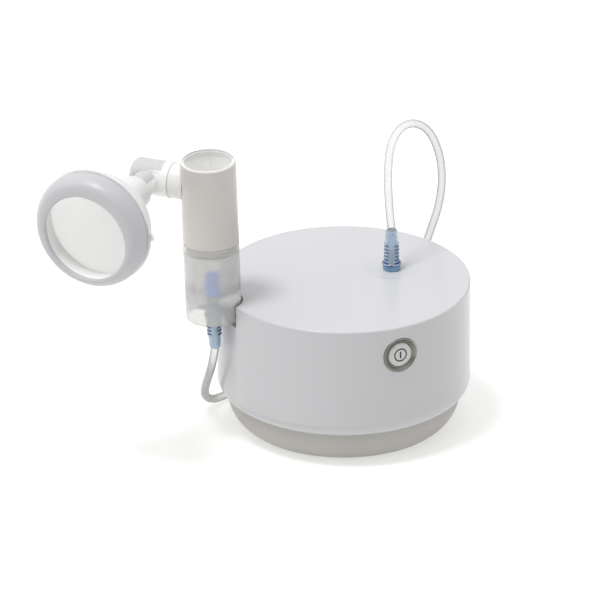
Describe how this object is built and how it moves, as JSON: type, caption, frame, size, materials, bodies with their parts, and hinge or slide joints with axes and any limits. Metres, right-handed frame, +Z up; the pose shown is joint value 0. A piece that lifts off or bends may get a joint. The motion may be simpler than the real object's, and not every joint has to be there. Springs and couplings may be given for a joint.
{
  "type": "tabletop nebulizer",
  "caption": "Round tabletop compressor nebulizer with a side-mounted medicine kit, inhalation mask on an elbow and a looped air tube.",
  "frame": {"origin": "centre of the round compressor's footprint on the table", "axes": "+Z up, -Y towards the power button, +Y towards the rear power inlet"},
  "size_m": [0.3066, 0.2369, 0.2084],
  "materials": {
    "housing": "fine satin moulded plastic",
    "base": "satin moulded plastic",
    "trim": "satin moulded plastic",
    "button": "smooth moulded plastic",
    "dark_plastic": "moulded plastic",
    "rubber": "moulded rubber",
    "steel": "zinc plated",
    "board": "glass-fibre circuit board",
    "aluminium": "die cast",
    "nylon": "natural nylon",
    "felt": "pressed felt",
    "frosted": "translucent frosted polypropylene",
    "kit_white": "translucent white polypropylene",
    "soft_rim": "soft matt elastomer",
    "blue_insert": "translucent tinted plastic",
    "connector": "soft moulded PVC",
    "tube": "clear PVC tube"
  },
  "bodies": {
    "root": {"top_shell": "housing", "base_tray": "base", "rubber_feet": "rubber", "case_screws": "steel", "button_bezel": "trim", "button_dome": "rubber", "control_board": "board", "tact_switch": "dark_plastic", "board_rails": "housing", "dc_inlet": "dark_plastic", "dc_pin": "steel", "dc_inlet_nut": "steel", "filter_housing": "housing", "filter_felt": "felt", "outlet_nipple": "housing", "outlet_hose": "rubber", "motor_can": "steel", "motor_bearings": "steel", "pump_cylinder": "aluminium", "pump_head": "aluminium", "pump_frame": "steel", "rubber_mounts": "rubber", "frame_screws": "steel", "kit_cradle": "trim", "outlet_connector": "connector", "air_tube_loop": "tube", "air_tube_return": "tube", "air_tube_coil": "tube"},
    "button": {"power_button": "button"},
    "filter_lid": {"filter_cover": "housing"},
    "rotor": {"motor_rotor": "steel", "crank_wheel": "nylon", "cooling_fan": "dark_plastic"},
    "piston": {"piston_rod": "nylon", "piston_seal": "rubber"},
    "cup": {"medicine_cup": "frosted", "jet_insert": "blue_insert", "cup_connector": "connector"},
    "kit_top": {"upper_tube": "kit_white", "kit_port": "kit_white", "inlet_funnel": "kit_white", "cup_seal_ring": "rubber"},
    "elbow_body": {"elbow": "frosted"},
    "mask": {"mask_shell": "frosted", "mask_cushion": "soft_rim"}
  },
  "joints": [
    {"name": "button_press", "type": "slide", "parent": "root", "child": "button", "axis": [0, 1, 0], "range_m": [0, 0.0012], "stiffness_N_per_m": 700, "springref_m": -0.0008, "deforming": ["button_dome"]},
    {"name": "filter_pull", "type": "slide", "parent": "root", "child": "filter_lid", "axis": [-0.3746, 0.9272, 0], "range_m": [0, 0.012]},
    {"name": "motor_spin", "type": "hinge", "parent": "root", "child": "rotor", "pos_m": [0, 0, 0.036], "axis": [1, 0, 0], "continuous": true},
    {"name": "piston_stroke", "type": "slide", "parent": "root", "child": "piston", "axis": [0, 0, 1], "range_m": [0, 0.006]},
    {"name": "kit_lift", "type": "slide", "parent": "root", "child": "cup", "axis": [-0.0347, 0.0038, 0.9994], "range_m": [0, 0.03]},
    {"name": "cap_twist", "type": "hinge", "parent": "cup", "child": "kit_top", "pos_m": [-0.08861, 0.00978, 0.13697], "axis": [-0.0347, 0.0038, 0.9994], "range_deg": [0, 35]},
    {"name": "elbow_swivel", "type": "hinge", "parent": "kit_top", "child": "elbow_body", "pos_m": [-0.08992, 0.00993, 0.17461], "axis": [-0.6439, 0.7647, -0.0253], "range_deg": [-40, 40]},
    {"name": "mask_swivel", "type": "hinge", "parent": "elbow_body", "child": "mask", "pos_m": [-0.11477, 0.03944, 0.17363], "axis": [-0.817, -0.5742, -0.0523], "range_deg": [-60, 60]}
  ]
}
